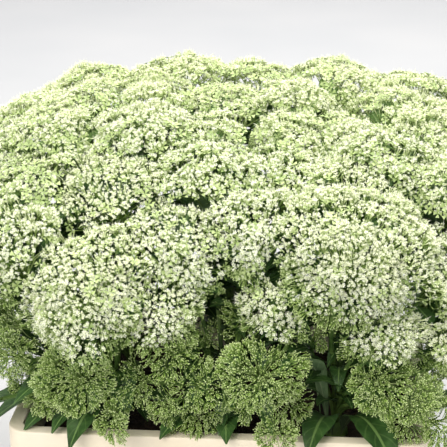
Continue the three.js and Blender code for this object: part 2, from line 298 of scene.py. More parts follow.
# Tub: injection-moulded cream polypropylene. Its satin skin has a fine moulded grain, drawn at 1.5 mm where
# the real one is 0.3 mm so that it shows, and faint milky patches where the plastic flowed and was rubbed.
cream_stops = (0.3, "#f0e0c6"), (0.55, "#f5e7cf"), (0.75, "#f8ecd8")
tub_plastic, tree, shader, flow, cream = mottled_finish(
    "moulded_cream_polypropylene", 0.45, 60, 5.0, cream_stops, IOR=1.49
)
tree.links.new(cream, shader.inputs["Base Color"])
place = add_node(tree, "TexCoord", output="Object")
grain = add_node(tree, "TexNoise", {"Vector": place, "Scale": per_metre(1.5), "Detail": 2.0}, "Fac")
sheen = add_node(tree, "MapRange", {"Value": flow, "To Min": 0.38, "To Max": 0.56}, "Result")
tree.links.new(sheen, shader.inputs["Roughness"])
bump = add_node(tree, "Bump", {"Height": grain, "Strength": 0.15, "Distance": 0.2 * MM}, "Normal")
tree.links.new(bump, shader.inputs["Normal"])

# Soil: damp peat with lighter fibres, rough all over.
peat_stops = (0.3, "#1d140e"), (0.55, "#3a2a1e"), (0.75, "#5b4632")
peat, tree, shader, lumps, brown = mottled_finish("damp_peat_soil", 0.95, 7, 8.0, peat_stops)
tree.links.new(brown, shader.inputs["Base Color"])
bump = add_node(tree, "Bump", {"Height": lumps, "Strength": 0.8, "Distance": 2 * MM}, "Normal")
tree.links.new(bump, shader.inputs["Normal"])

# Pieces: small forms copied over a head and gathered into one mesh

# A small form: its faces, how far along it each corner is, where each face lies in its cell of the flat map,
# its material, and its first cell and number of cells. Copies with the same tint share a cell.
Form = collections.namedtuple("Form", "faces reach flat finish first cells")
FLAT_CELLS = 12
CELL_EDGE = 0.06
FLORET_CELLS = 0, 48
BUD_CELLS = 48, 32
STALK_CELLS = 80, 24
BRANCH_CELLS = 104, 16


class Growth:
    """The corners, faces and marks of one piece as it grows."""

    def __init__(self):
        self.finishes = petal, bud_skin, stalk_skin
        self.count = 0
        self.corners, self.faces, self.reach, self.tint, self.flat, self.finish = [], [], [], [], [], []

    def add(self, form, corners, tint):
        """Adds copies of a form. Corners has a row of points for each copy, and tint a number from 0 to 1."""
        copies, size = corners.shape[:2]
        if not copies:
            return
        level = np.minimum((np.clip(tint, 0, 1) * form.cells).astype(int), form.cells - 1)
        cell = form.first + level
        origin = np.stack([cell % FLAT_CELLS, cell // FLAT_CELLS], 1)
        starts = self.count + np.arange(copies) * size
        self.corners.append(corners.reshape(-1, 3))
        self.faces.append((form.faces[None] + starts[:, None, None]).reshape(-1, 3))
        self.reach.append(np.tile(form.reach, copies))
        self.tint.append(np.repeat((level + 0.5) / form.cells, size))
        inside = CELL_EDGE + (1 - 2 * CELL_EDGE) * form.flat
        self.flat.append(((origin[:, None, None] + inside[None]) / FLAT_CELLS).reshape(-1, 2))
        self.finish.append(np.full(copies * len(form.faces), self.finishes.index(form.finish)))
        self.count += copies * size

    def piece(self, name, slot, *nodes):
        """Makes the mesh, which rides on the root body and stands for these nodes."""
        return add_piece(
            name, slot, nodes, np.concatenate(self.corners), np.concatenate(self.faces), self.finishes,
            finish=np.concatenate(self.finish), flat=np.concatenate(self.flat),
            marks={"reach": np.concatenate(self.reach), "tint": np.concatenate(self.tint)},
        )


def add_piece(name, slot, nodes, corners, faces, finishes, finish=None, flat=None, marks=None, smooth=None):
    """A mesh from corners and faces, with its materials, its flat map and the numbers it carries."""
    mesh = bpy.data.meshes.new(name)
    mesh.from_pydata(np.asarray(corners).tolist(), [], [list(face) for face in faces])
    for material in finishes:
        mesh.materials.append(material)
    if finish is not None:
        mesh.polygons.foreach_set("material_index", np.asarray(finish, dtype=np.int32))
    if flat is not None:
        mesh.uv_layers.new(name="OFBake").data.foreach_set("uv", np.asarray(flat, dtype=np.float32).ravel())
    for label, values in (marks or {}).items():
        layer = mesh.attributes.new(label, "FLOAT", "POINT")
        layer.data.foreach_set("value", np.asarray(values, dtype=np.float32))
    if smooth is not None:
        mesh.shade_smooth()
        mesh.set_sharp_from_angle(angle=math.radians(smooth))
    piece = bpy.data.objects.new(name, mesh)
    bpy.context.scene.collection.objects.link(piece)
    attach(piece, "root")
    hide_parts(*nodes)
    return piece


def around(count, radius, start=0.0, height=0.0):
    """Points evenly round a ring."""
    angle = start + np.arange(count) / count * FULL_TURN
    return np.stack([radius * np.cos(angle), radius * np.sin(angle), np.full(count, height)], 1)


# An open flower, 1 across its lobes' radius: five separate lobes that leave a throat, and its long style
LOBES = 5
LOBE_HALF_ANGLE = math.radians(19)
LOBE_LIFT = 0.1
THROAT_DEPTH = 0.45
STYLE_FOOT = 0.42
STYLE_TIP = 0.16, 0.1, 2.6
STYLE_FLAT = (0.02, 0.02), (0.12, 0.02), (0.02, 0.3)
floret_points = np.concatenate([
    [[0, 0, -THROAT_DEPTH]],
    around(LOBES, 1.0, -LOBE_HALF_ANGLE, LOBE_LIFT),
    around(LOBES, 1.0, LOBE_HALF_ANGLE, LOBE_LIFT),
    [[STYLE_FOOT, 0, -THROAT_DEPTH], STYLE_TIP],
])
style_face = 0, 1 + 2 * LOBES, 2 + 2 * LOBES
floret_faces = np.array([(0, 1 + k, 1 + LOBES + k) for k in range(LOBES)] + [style_face])
floret_flat = np.array((0.5 + floret_points[:, :2] / 2)[floret_faces])
floret_flat[-1] = STYLE_FLAT
floret_reach = np.array([0.0] + [1.0] * 2 * LOBES + [0.7, 1.0])
floret = Form(floret_faces, floret_reach, floret_flat, petal, *FLORET_CELLS)

# A closed bud, 1 in radius: three sides, pointed above and below
BUD_SIDES = 3
BUD_TIP = 1.5
BUD_FOOT = -1.3
bud_points = np.concatenate([[[0, 0, BUD_TIP]], around(BUD_SIDES, 1.0), [[0, 0, BUD_FOOT]]])
bud_star = 0.5 + (around(2 * BUD_SIDES, 0.5) * np.tile([[0.6], [0.98]], (BUD_SIDES, 1)))[:, :2]
bud_faces, bud_flat = [], []
for k in range(BUD_SIDES):
    here, following = 1 + k, 1 + (k + 1) % BUD_SIDES
    bud_faces += [(0, here, following), (BUD_SIDES + 1, following, here)]
    left, middle, right = bud_star[[2 * k, 2 * k + 1, (2 * k + 2) % len(bud_star)]]
    bud_flat += [[(0.5, 0.5), left, right], [middle, right, left]]
bud_reach = np.array([1.0] + [0.55] * BUD_SIDES + [0.0])
bud = Form(np.array(bud_faces), bud_reach, np.array(bud_flat), bud_skin, *BUD_CELLS)

# A flower's own stalk: three sides that taper from the flower to the fork below it
stalk_faces = np.array([(k, 3, (k + 1) % 3) for k in range(3)])
stalk_flat = np.array([[(k / 3, 1), ((k + 0.4) / 3, 0), ((k + 0.8) / 3, 1)] for k in range(3)])
stalk = Form(stalk_faces, np.array([1.0, 1.0, 1.0, 0.0]), stalk_flat, stalk_skin, *STALK_CELLS)

# The thread under a bud: one narrow face
thread_flat = np.array([[(0.2, 1), (0.8, 1), (0.5, 0)]])
thread = Form(np.array([(0, 1, 2)]), np.array([1.0, 1.0, 0.0]), thread_flat, stalk_skin, *STALK_CELLS)

# The small bracts where a spray divides: four narrow blades, 1 long
BRACTS = 4
BRACT_HALF_ANGLE = 0.45
BRACT_RISE = 0.35
bract_points = np.concatenate([
    [[0, 0, 0]],
    around(BRACTS, 1.0, -BRACT_HALF_ANGLE, BRACT_RISE),
    around(BRACTS, 1.0, BRACT_HALF_ANGLE, BRACT_RISE),
])
bract_faces = np.array([(0, 1 + k, 1 + BRACTS + k) for k in range(BRACTS)])
bract_flat = (0.5 + bract_points[:, :2] / 2)[bract_faces]
bract_reach = np.array([0.35] + [0.6] * 2 * BRACTS)
bract = Form(bract_faces, bract_reach, bract_flat, stalk_skin, *STALK_CELLS)

# A branch inside a head: three sides and three lengths
BRANCH_STEPS = 3
BRANCH_SIDES = 3
branch_faces, branch_flat = [], []
for step in range(BRANCH_STEPS):
    for k in range(BRANCH_SIDES):
        a, b = step * BRANCH_SIDES + k, step * BRANCH_SIDES + (k + 1) % BRANCH_SIDES
        low, high = step / BRANCH_STEPS, (step + 1) / BRANCH_STEPS
        left, right = k / BRANCH_SIDES, (k + 1) / BRANCH_SIDES
        branch_faces += [(a, b, b + BRANCH_SIDES), (a, b + BRANCH_SIDES, a + BRANCH_SIDES)]
        branch_flat.append([(left, low), (right, low), (right, high)])
        branch_flat.append([(left, low), (right, high), (left, high)])
branch_reach = np.repeat(np.linspace(0, 0.6, BRANCH_STEPS + 1), BRANCH_SIDES)
branch = Form(np.array(branch_faces), branch_reach, np.array(branch_flat, float), stalk_skin, *BRANCH_CELLS)

# How far a stalk runs on past its fork, so that it is rooted in it
ROOTED = 2 * MM


def crosswise(directions):
    """Two unit vectors across each direction."""
    helper = np.where(np.abs(directions[:, 2:]) < 0.9, UP, np.array([1.0, 0.0, 0.0]))
    first = unit(np.cross(helper, directions))
    return first, np.cross(directions, first)


def place_form(points, origins, facing, sizes, spins):
    """Copies of a form's points, each turned to face its own way."""
    first, second = crosswise(facing)
    turned = np.cos(spins)[:, None] * first + np.sin(spins)[:, None] * second
    axes = np.stack([turned, np.cross(facing, turned), facing], 1) * sizes[:, None, None]
    return origins[:, None] + points @ axes


def stalks_to(tips, forks, radius):
    """The corners of a stalk from each tip down to its fork."""
    along = unit(forks - tips)
    first, second = crosswise(along)
    rings = [
        tips + radius * (math.cos(turn) * first + math.sin(turn) * second)
        for turn in (0, -FULL_TURN / 3, -2 * FULL_TURN / 3)
    ]
    return np.stack([*rings, forks + along * ROOTED], 1)


def threads_to(tips, forks, radius, spins):
    """The corners of a thread from each tip down to its fork."""
    along = unit(forks - tips)
    first, second = crosswise(along)
    side = radius * (np.cos(spins)[:, None] * first + np.sin(spins)[:, None] * second)
    return np.stack([tips + side, tips - side, forks + along * ROOTED], 1)


def branches_to(root, axis, ends, thick, thin):
    """The corners of branches that leave a root along an axis and curve out to their ends."""
    reach = np.linalg.norm(ends - root, axis=1, keepdims=True)
    bend = root + axis * reach * 0.5
    across = unit(np.cross(np.broadcast_to(axis, ends.shape) + 1e-4, ends - root))
    rings = []
    for t in np.linspace(0, 1, BRANCH_STEPS + 1):
        point = (1 - t) ** 2 * root + 2 * t * (1 - t) * bend + t * t * ends
        along = unit(2 * (1 - t) * (bend - root) + 2 * t * (ends - bend))
        other = np.cross(along, across)
        radius = thick + (thin - thick) * t
        for k in range(BRANCH_SIDES):
            turn = FULL_TURN * k / BRANCH_SIDES
            rings.append(point + radius * (math.cos(turn) * across + math.sin(turn) * other))
    return np.stack(rings, 1)


# Heads: their outline, and how far the flowers and buds stand apart

HEAD_SPREAD = 0.3
SHOULDER = 0.8
UNDERSIDE_DROP = 0.3
DOME_ANGLES = np.radians(np.linspace(-38, 90, 65))
EVEN_PACKING = 0.87
TURN_JITTER = 0.25
FLOWER_SPACING = 3.15 * MM
BACK_FLOWER_SPACING = 2.88 * MM
BUD_SPACING = 2.6 * MM
BACK_BUD_SPACING = 3.5 * MM
FRONT_ROW = -80 * MM

# How closed the mass is at each place, from 0 outside it to 1 inside, seen from above. Heads spread from
# where it is MASS_EDGE, and reach their full spread MASS_FADE further on.
CROWD_CELL = 6 * MM
CROWD_LOW = np.array([-290, -215]) * MM
CROWD_SHAPE = (96, 82)
MASS_BLUR = 12
MASS_EDGE = 0.55
MASS_FADE = 0.3
crowd_places = np.stack(np.meshgrid(*(np.arange(n) + 0.5 for n in CROWD_SHAPE), indexing="ij"), -1)
crowd_places *= CROWD_CELL
crowd_places += CROWD_LOW


def blurred(grid, times):
    for _ in range(times):
        padded = np.pad(grid, 1, mode="edge")
        shifted = (padded[i:i + grid.shape[0], j:j + grid.shape[1]] for i in range(3) for j in range(3))
        grid = sum(shifted) / 9
    return grid


def cells_of(points):
    cells = np.clip((points[:, :2] - CROWD_LOW) / CROWD_CELL, 0, np.array(CROWD_SHAPE) - 1)
    return tuple(cells.astype(int).T)


covered = np.zeros(CROWD_SHAPE)
for head in main_heads:
    if head.node.startswith("flower"):
        covered[np.linalg.norm(crowd_places - head.centre[:2], axis=2) < head.width * 0.52] = 1
closed_share = blurred(covered, MASS_BLUR)


def dome_profile(head):
    """The radius and height along a head's outline at each of the dome's angles."""
    below = DOME_ANGLES < 0
    radii = head.width / 2 * np.maximum(np.cos(DOME_ANGLES), 0) ** np.where(below, 1, SHOULDER)
    rises = np.where(below, UNDERSIDE_DROP, HEAD_DOME) * np.sin(DOME_ANGLES)
    return radii, head.width * (HEAD_WAIST + rises)


def spread_of(head):
    """How far past its outline a head may spread in the closed mass."""
    return HEAD_SPREAD if head.node.startswith("flower") else 0.0


def scattered(head, spacing, rng):
    """Points spread evenly over a head's outline, the way each faces, and its angle above the waist."""
    spread = spread_of(head)
    radii, heights = dome_profile(head)
    wide = radii * (1 + spread)
    lengths = np.hypot(np.diff(wide), np.diff(heights))
    areas = np.concatenate([[0], np.cumsum(lengths * math.pi * (wide[1:] + wide[:-1]))])
    count = int(areas[-1] / (EVEN_PACKING * spacing ** 2))
    share = (np.arange(count) + rng.uniform(0.1, 0.9, count)) / count
    angle = np.interp(share * areas[-1], areas, DOME_ANGLES)
    turn = np.arange(count) * GOLDEN_ANGLE + rng.uniform(0, FULL_TURN)
    radius = np.interp(angle, DOME_ANGLES, radii)
    turn = turn + rng.normal(0, TURN_JITTER, count) * spacing / np.maximum(radius, spacing)
    height = np.interp(angle, DOME_ANGLES, heights)
    first, second = (side[0] for side in crosswise(head.axis[None]))
    out = np.cos(turn)[:, None] * first + np.sin(turn)[:, None] * second
    if spread:
        beyond = head.centre + out * head.width * 0.6
        closed = np.clip((closed_share[cells_of(beyond)] - MASS_EDGE) / MASS_FADE, 0, 1)
        radius = radius * (1 + spread * closed)
    points = head.base + height[:, None] * head.axis + radius[:, None] * out
    outward = np.interp(angle, DOME_ANGLES, np.gradient(heights, DOME_ANGLES))
    upward = -np.interp(angle, DOME_ANGLES, np.gradient(radii, DOME_ANGLES)) * (1 + spread)
    return points, unit(outward[:, None] * out + upward[:, None] * head.axis), angle


def clear_of_neighbours(points, head, heads, margin):
    """Which points lie on a head's own side of the planes where it presses against its neighbours."""
    clear = np.ones(len(points), bool)
    for other in heads:
        apart = np.linalg.norm(other.centre - head.centre)
        both_open = spread_of(head) and spread_of(other)
        own, theirs = (h.width / 2 * (1 + HEAD_SPREAD if both_open else 1) for h in (head, other))
        if other is head or apart > own + theirs:
            continue
        toward = (other.centre - head.centre) / apart
        shared = (apart ** 2 + own ** 2 - theirs ** 2) / (2 * apart)
        clear &= (points - head.centre) @ toward < shared + margin
    return clear


def swell(points, size):
    """Soft random swelling from -1 to 1 with features of one size."""
    return np.array([noise.noise(Vector(p / size)) for p in points])


def nearest_of(points, centres):
    """For each point, the nearest centre and how far it is."""
    apart = np.linalg.norm(points[:, None] - centres[None], axis=2)
    return apart.argmin(1), apart.min(1)


# Inside a head: forks that carry sprays, and sprays that carry the tips. The sags lower the tips between two
# forks or sprays by the square of the distance, and no more than the most.
FORK_SPACING = 22 * MM
FORK_DEPTH = 19 * MM
FORK_OFFSET = 2.5 * MM
FORK_SAG = 22
MOST_FORK_SAG = 4 * MM
SPRAY_SPACING = 9 * MM
SPRAY_DEPTH = 9 * MM
SPRAY_PULL = 0.18
SPRAY_SAG = 70
MOST_SPRAY_SAG = 2.5 * MM
SWELL_DEPTH = 6 * MM
SWELL_SIZE = 38 * MM
LAYER_DEPTH = 4 * MM
EDGE_MARGIN = 2 * MM
EDGE_RAGGED = 6 * MM
EDGE_SIZE = 14 * MM

Structure = collections.namedtuple(
    "Structure", "forks sprays spray_facing fork_of tips facing angle spray_of"
)


def head_structure(head, heads, spacing, rng):
    """A head's forks, the sprays that grow from each fork, and the tips that grow from each spray."""
    fork_tops, fork_facing, _ = scattered(head, FORK_SPACING, rng)
    fork_lift = rng.normal(0, FORK_OFFSET, len(fork_tops))
    sprays, spray_facing, _ = scattered(head, SPRAY_SPACING, rng)
    tips, facing, angle = scattered(head, spacing, rng)
    ragged = EDGE_MARGIN + EDGE_RAGGED * swell(tips, EDGE_SIZE)
    kept = clear_of_neighbours(tips, head, heads, ragged)
    tips, facing, angle = tips[kept], facing[kept], angle[kept]
    spray_of, off_spray = nearest_of(tips, sprays)
    fork_of, _ = nearest_of(sprays, fork_tops)
    tip_fork, off_fork = nearest_of(tips, fork_tops)
    depth = fork_lift[tip_fork] - np.minimum(off_fork ** 2 * FORK_SAG, MOST_FORK_SAG)
    depth += swell(tips, SWELL_SIZE) * SWELL_DEPTH - np.minimum(off_spray ** 2 * SPRAY_SAG, MOST_SPRAY_SAG)
    depth -= rng.random(len(tips)) * LAYER_DEPTH
    tips = tips + (sprays[spray_of] - tips) * SPRAY_PULL + facing * depth[:, None]
    forks = fork_tops + fork_facing * (fork_lift - FORK_DEPTH)[:, None]
    sprays = sprays + spray_facing * (fork_lift[fork_of] - SPRAY_DEPTH)[:, None]
    return Structure(forks, sprays, spray_facing, fork_of, tips, facing, angle, spray_of)


# Flowers that others cover by more than this from all sides are left out
COVER_DEPTH = 8 * MM
COVER_CELL = 3.5 * MM
OUTSIDE_TURNS = range(-90, 270, 45)
OUTSIDE_RISES = (3, 25, 50)
FAR_BEHIND = -9.0


def seen_from_outside(points):
    """Which points lie near the outside of the whole mass, seen from the sides and from above."""
    seen = np.zeros(len(points), bool)
    for turn, rise in [(0, 90)] + [(turn, rise) for turn in OUTSIDE_TURNS for rise in OUTSIDE_RISES]:
        a, e = math.radians(turn), math.radians(rise)
        toward = np.array([math.cos(a) * math.cos(e), math.sin(a) * math.cos(e), math.sin(e)])
        first, second = (side[0] for side in crosswise(toward[None] + np.array([1e-9, 0, 0])))
        cells = np.floor(np.stack([points @ first, points @ second], 1) / COVER_CELL).astype(int)
        cells -= cells.min(0) - 1
        nearest = np.full(cells.max(0) + 2, FAR_BEHIND)
        depth = points @ toward
        np.maximum.at(nearest, (cells[:, 0], cells[:, 1]), depth)
        rows, columns = nearest.shape
        front = np.full_like(nearest, FAR_BEHIND)
        for i in (-1, 0, 1):
            for j in (-1, 0, 1):
                shifted = nearest[1 + i:rows - 1 + i, 1 + j:columns - 1 + j]
                front[1:-1, 1:-1] = np.maximum(front[1:-1, 1:-1], shifted)
        seen |= depth > front[cells[:, 0], cells[:, 1]] - COVER_DEPTH
    return seen


# What grows on a head. Sprays are paler towards the back, where more light passes through the mass.
BRANCH_RADII = 1.2 * MM, 0.5 * MM
SPRAY_RADIUS = 0.6 * MM
STALK_RADIUS = 0.7 * MM
THREAD_RADIUS = 0.5 * MM
PALER_BEHIND = 0.6
PALER_REACH = 120 * MM
FLOWER_RADIUS = 1.62 * MM
FLOWER_SWAY = 0.4
FLOWER_LIFT = 0.35
BUD_RADIUS = 0.75 * MM
BUD_SWAY = 0.35
BUD_PATCH = 20 * MM
OPEN_SHARE = 0.68
OPEN_FROM = -2
OPEN_OVER = 32
CREAM_ABOVE = 0.4
CREAM_PATCHES = 0.35
CREAM_PATCH = 25 * MM
CREAM_BEHIND = 0.5
CREAM_REACH = 150 * MM
BRACT_LIFT = 2.5 * MM
BRACT_LENGTH = 4.8 * MM
BRACT_SHARE = (0.3, 1.0)
BRACTS_BEHIND = -40 * MM


def grow_sprays(growth, head, built, kept, rng):
    """The branches inside a head and the spray stalks that carry the kept tips."""
    used = np.unique(built.spray_of[kept])
    carried = built.fork_of[used]
    behind = np.clip(head.centre[1] / PALER_REACH + 0.3, 0, 1)
    tint = 0.8 + 0.2 * rng.random(len(used)) - PALER_BEHIND * behind
    growth.add(stalk, stalks_to(built.sprays[used], built.forks[carried], SPRAY_RADIUS), tint)
    forks = built.forks[np.unique(carried)]
    if len(forks):
        growth.add(branch, branches_to(head.base, head.axis, forks, *BRANCH_RADII), rng.random(len(forks)))


def grow_buds(growth, tips, facing, ends, tint, spins, rng):
    """Closed buds, each on its thread."""
    sizes = BUD_RADIUS * rng.uniform(0.7, 1.2, len(tips))
    growth.add(bud, place_form(bud_points, tips, facing, sizes, spins), tint)
    growth.add(thread, threads_to(tips - facing * MM, ends, THREAD_RADIUS, spins), tint + 0.1)


def grow_bracts(growth, head, built, seen, rng):
    """Small bracts where the sprays divide."""
    used = np.unique(built.spray_of[seen])
    used = used[rng.random(len(used)) < BRACT_SHARE[head.centre[1] > BRACTS_BEHIND]]
    facing = built.spray_facing[used]
    places = built.sprays[used] + facing * BRACT_LIFT
    sizes = BRACT_LENGTH * rng.uniform(0.7, 1.2, len(used))
    turns = rng.uniform(0, FULL_TURN, len(used))
    tint = 0.1 + rng.random(len(used)) * 0.5
    growth.add(bract, place_form(bract_points, places, facing, sizes, turns), tint)


def grow_open_head(growth, head, built, seen, rng):
    """White flowers over a head, opening buds among them and under its waist, and all their stalks."""
    tips, facing = built.tips, built.facing
    count = len(tips)
    share = np.clip((np.degrees(built.angle) - OPEN_FROM) / OPEN_OVER, 0, 1)
    opened = (rng.random(count) < share * OPEN_SHARE) & seen
    loose = unit(facing + FLOWER_SWAY * rng.normal(size=(count, 3)) + FLOWER_LIFT * UP)
    sizes = FLOWER_RADIUS * rng.uniform(0.7, 1.15, count)
    tint = rng.uniform(-0.1, 0.3) + CREAM_ABOVE * facing[:, 2]
    tint = tint + CREAM_PATCHES * swell(tips, CREAM_PATCH) + rng.uniform(-0.2, 0.2, count)
    tint += CREAM_BEHIND * np.clip(tips[:, 1] / CREAM_REACH, 0, 1)
    spins = rng.uniform(0, FULL_TURN, count)
    ends = built.sprays[built.spray_of]
    growth.add(floret, place_form(floret_points, tips, loose, sizes, spins)[opened], tint[opened])
    feet = tips - loose * (sizes * THROAT_DEPTH)[:, None]
    growth.add(stalk, stalks_to(feet, ends, STALK_RADIUS)[opened], rng.random(count)[opened] * 0.5)
    closed = ~opened & seen
    green = 0.75 - 0.6 * share + rng.uniform(-0.1, 0.2, count)
    grow_buds(growth, tips[closed], loose[closed], ends[closed], green[closed], spins[closed], rng)
    grow_sprays(growth, head, built, seen, rng)
    grow_bracts(growth, head, built, seen, rng)


def grow_bud_head(growth, head, built, seen, rng):
    """Green buds all over a head, with their stalks."""
    tips, facing = built.tips[seen], built.facing[seen]
    count = len(tips)
    loose = unit(facing + BUD_SWAY * rng.normal(size=(count, 3)))
    tint = 0.85 + 0.25 * swell(tips, BUD_PATCH) + rng.uniform(-0.25, 0.25, count)
    ends = built.sprays[built.spray_of[seen]]
    grow_buds(growth, tips, loose, ends, tint, rng.uniform(0, FULL_TURN, count), rng)
    grow_sprays(growth, head, built, seen, rng)


# Small side heads: white ones in the hollows between the main heads, green ones in bud round the mass
SIDE_WAIST = 0.45
PLANT_SPREAD = 1.4
HOLLOW_DEPTH = 18 * MM
MOST_FILLERS = 50
FILLER_REGION = ((-235, -115), (225, 225))
FILLER_BLUR = 15
FILLER_WIDTHS = 60, 80
FILLER_RISE = 2 * MM
CLOSED_ENOUGH = 0.7
MASS_MIDDLE_Y = 70 * MM
LEAN_REACH = np.array([450, 400]) * MM


def nearest_plant(x, y):
    """The plant whose crown is nearest, where plants spread as they rise."""
    away = {plant: math.hypot(crown[0] - x / PLANT_SPREAD, crown[1] - y) for plant, crown in crowns.items()}
    return min(away, key=away.get)


def side_head(kind, x, y, top, width, axis):
    axis = unit(np.array(axis, float))
    centre = np.array([x, y, top - SIDE_WAIST * width])
    return Head(kind, centre - axis * HEAD_WAIST * width, axis, width, centre, nearest_plant(x, y))


def raise_tops(tops, head):
    """Marks how high a head reaches at each place."""
    points = scattered(head, CROWD_CELL * 0.7, np.random.default_rng(1))[0]
    np.maximum.at(tops, cells_of(points), points[:, 2])


def filling_heads(heads, rng):
    """White side heads for the hollows, the deepest first."""
    tops = np.zeros(CROWD_SHAPE)
    for head in heads:
        raise_tops(tops, head)
    share = blurred((tops > 0).astype(float), FILLER_BLUR)
    crowd = blurred(tops, FILLER_BLUR) / np.maximum(share, 1e-3)
    least, most = np.array(FILLER_REGION) * MM
    within = (crowd_places > least).all(2) & (crowd_places < most).all(2)
    found = []
    while len(found) < MOST_FILLERS:
        hollow = np.where((share > CLOSED_ENOUGH) & within, crowd - blurred(tops, 3), 0)
        i, j = np.unravel_index(hollow.argmax(), CROWD_SHAPE)
        if hollow[i, j] < HOLLOW_DEPTH:
            break
        x, y = crowd_places[i, j]
        axis = (x / LEAN_REACH[0], (y - MASS_MIDDLE_Y) / LEAN_REACH[1], 1)
        width = rng.uniform(*FILLER_WIDTHS) * MM
        found.append(side_head("filling", x, y, crowd[i, j] + FILLER_RISE, width, axis))
        raise_tops(tops, found[-1])
    return found


# White side heads low at the front: x, y, top and width in millimetres, and which way each leans
FRONT_FILLERS = (
    (-52, -146, 364, 92, (-0.15, -0.4, 1)), (60, -132, 366, 90, (-0.15, -0.4, 1)),
    (148, -148, 350, 84, (0.3, -0.5, 1)),
)
fillers = filling_heads([h for h in main_heads if h.node.startswith("flower")], np.random.default_rng(7))
for x, y, top, width, axis in FRONT_FILLERS:
    fillers.append(side_head("filling", x * MM, y * MM, top * MM, width * MM, axis))

# Bud heads round the sides: by level, how far out, how high their tops are, how far apart and how wide
SIDE_LEVELS = ((-34, 345, 60, 76), (14, 318, 50, 68), (4, 284, 52, 62), (-4, 250, 52, 54))
SIDE_HALF_LENGTH = 196 * MM
SIDE_HALF_WIDTH = 150 * MM
SIDE_MIDDLE_Y = 12 * MM
SIDE_CORNER = 0.92
CROWDED = 0.3
BARE_PLACE = (75 * MM, 145 * MM), -100 * MM, 335 * MM


def is_bare(x, y, z):
    """Whether a place is the leafy one at the front, low on the right, where no bud heads grow."""
    (left, right), back, top = BARE_PLACE
    return left < x < right and y < back and z < top


def side_buds(rng):
    found = []
    for level, (out, top, apart, width) in enumerate(SIDE_LEVELS):
        count = int(4 * (SIDE_HALF_LENGTH + SIDE_HALF_WIDTH + 2 * out * MM) / (apart * MM))
        for k in range(count):
            turn = (k + 0.5 * (level % 2) + rng.uniform(-0.25, 0.25)) / count * FULL_TURN
            way = np.array([math.cos(turn), math.sin(turn)])
            half_length, half_width = SIDE_HALF_LENGTH + out * MM, SIDE_HALF_WIDTH + out * MM
            reach = 1 / max(abs(way[0]) / half_length, abs(way[1]) / half_width)
            reach = min(reach, SIDE_CORNER * math.hypot(SIDE_HALF_LENGTH, SIDE_HALF_WIDTH))
            x, y = way * reach + (0, SIDE_MIDDLE_Y)
            z = (top + rng.uniform(-12, 12)) * MM
            wide = width * rng.uniform(0.8, 1.15) * MM
            head = side_head("side_bud", x, y, z, wide, (*(way * 1.1), (z - 0.2) * 5))
            crowded = any(
                np.linalg.norm(other.centre - head.centre) < CROWDED * (other.width + head.width)
                for other in main_heads
            )
            if not crowded and not is_bare(x, y, z):
                found.append(head)
    return found


# Bud heads under the front row of open heads: x, y, top and width in millimetres
FRONT_BUDS = (
    (-160, -112, 292, 66), (-105, -118, 292, 66), (-55, -110, 298, 68), (-14, -95, 312, 66),
    (16, -78, 332, 72), (61, -96, 320, 66), (93, -94, 318, 60), (133, -112, 310, 64), (175, -108, 312, 62),
    (8, -146, 286, 58), (-42, -158, 268, 50), (182, -168, 282, 58), (-30, -60, 345, 60), (60, -60, 345, 60),
)
side_bud_heads = side_buds(np.random.default_rng(8))
for x, y, top, width in FRONT_BUDS:
    side_bud_heads.append(side_head("side_bud", x * MM, y * MM, top * MM, width * MM, (x / 300, -0.6, 1)))
all_heads = [*main_heads, *fillers, *side_bud_heads]

built = []
for number, head in enumerate(all_heads):
    spacing = FLOWER_SPACING if head.centre[1] < 0 else BACK_FLOWER_SPACING
    if "bud" in head.node:
        spacing = BUD_SPACING if head.centre[1] < FRONT_ROW else BACK_BUD_SPACING
    built.append(head_structure(head, all_heads, spacing, np.random.default_rng(100 + number)))
starts = np.cumsum([0] + [len(b.tips) for b in built])
seen_tips = seen_from_outside(np.concatenate([b.tips for b in built]))

# How high the flowers reach at each place
CANOPY_BLUR = 4
canopy = np.zeros(CROWD_SHAPE)
for structure in built:
    np.maximum.at(canopy, cells_of(structure.tips), structure.tips[:, 2])
canopy = blurred(canopy, CANOPY_BLUR) / np.maximum(blurred((canopy > 0).astype(float), CANOPY_BLUR), 1e-3)

# Each main head is one piece, and the side heads of a plant are one piece of flowers and one of buds
GROWERS = {
    "open": (grow_open_head, "open_flowers", "side_flowers"),
    "bud": (grow_bud_head, "green_buds", "side_buds"),
}
side_growths = {}
for number, (head, structure) in enumerate(zip(all_heads, built)):
    rng = np.random.default_rng(500 + number)
    kind = "bud" if "bud" in head.node else "open"
    grow, slot, _ = GROWERS[kind]
    is_main = head.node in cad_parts
    growth = Growth() if is_main else side_growths.setdefault((kind, head.plant), Growth())
    grow(growth, head, structure, seen_tips[starts[number]:starts[number + 1]], rng)
    if is_main:
        name = head.node.replace("flower_head", "open_corymb").replace("bud_head", "bud_corymb")
        growth.piece(name, slot, head.node)
for (kind, plant), growth in side_growths.items():
    if growth.count:
        _, slot, name = GROWERS[kind]
        growth.piece(plant.replace("stems", name), slot)

# Stems

STEM_RINGS = 22
STEM_ROUND = 8
STEM_JOINTS = 7
JOINT_SWELL = 0.18
STEM_WIDEST = 1.12
STEM_TAPER = 0.35
CROWN_HEIGHTS = -12, -6, 3, 8, 11
CROWN_RADII = 9, 13, 12.5, 9, 4
CROWN_ROUND = 14


def stem_line(head, steps):
    """Points and directions along a stem, from its crown to its head."""
    start = crowns[head.plant]
    end = head.base - head.axis * SEAT_GAP
    reach = np.linalg.norm(end - start)
    return bezier((start, start + UP * reach * STEM_START, end - head.axis * reach * STEM_END, end), steps)


